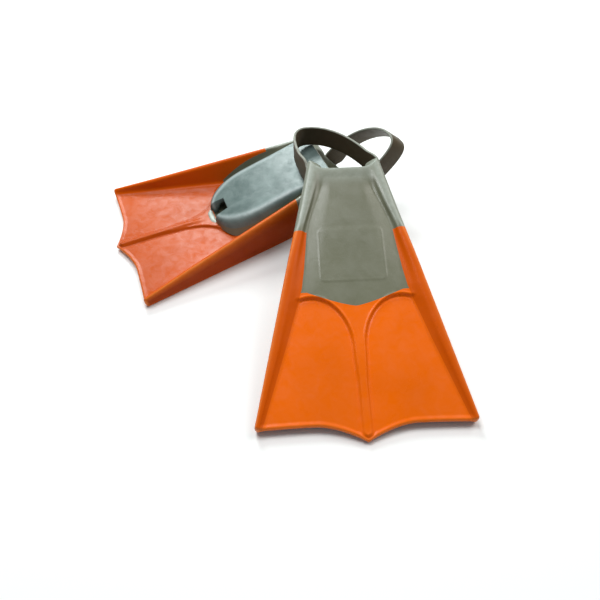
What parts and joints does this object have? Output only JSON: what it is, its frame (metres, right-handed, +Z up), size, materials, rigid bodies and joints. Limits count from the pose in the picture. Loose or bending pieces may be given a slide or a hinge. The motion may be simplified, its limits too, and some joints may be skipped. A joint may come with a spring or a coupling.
{
  "type": "swim fins",
  "caption": "Short swim fins for bodyboarding in moulded rubber, with a grey foot pocket, an orange blade between raised side rails, and a stretchy heel strap.",
  "frame": {"origin": "on the floor, under the middle of the pair's box", "axes": "+Z up from the floor; +X to the viewer's right; +Y away from the viewer, so the front fin's blade points to -Y"},
  "size_m": [0.4226, 0.4342, 0.1062],
  "materials": {
    "pocket_rubber": "satin",
    "sole_rubber": "satin",
    "blade_rubber": "satin",
    "rail_rubber": "satin",
    "strap_rubber": "satin"
  },
  "bodies": {
    "fins": {"front_foot_pocket": "pocket_rubber", "front_sole": "sole_rubber", "front_blade": "blade_rubber", "front_left_rail": "rail_rubber", "front_right_rail": "rail_rubber", "rear_foot_pocket": "pocket_rubber", "rear_sole": "sole_rubber", "rear_blade": "blade_rubber", "rear_left_rail": "rail_rubber", "rear_right_rail": "rail_rubber"},
    "front_strap": {"front_heel_strap": "strap_rubber"},
    "rear_strap": {"rear_heel_strap": "strap_rubber"}
  },
  "joints": [
    {"name": "front_strap_swing", "type": "hinge", "parent": "fins", "child": "front_strap", "pos_m": [0.10092, 0.08993, 0.08666], "axis": [1, 0, 0], "range_deg": [0, 50], "stiffness_Nm_per_rad": 0.8},
    {"name": "rear_strap_swing", "type": "hinge", "parent": "fins", "child": "rear_strap", "pos_m": [0.11004, 0.16954, 0.01905], "axis": [0.3256, -0.9455, 0], "range_deg": [-45, 10], "stiffness_Nm_per_rad": 0.8}
  ]
}
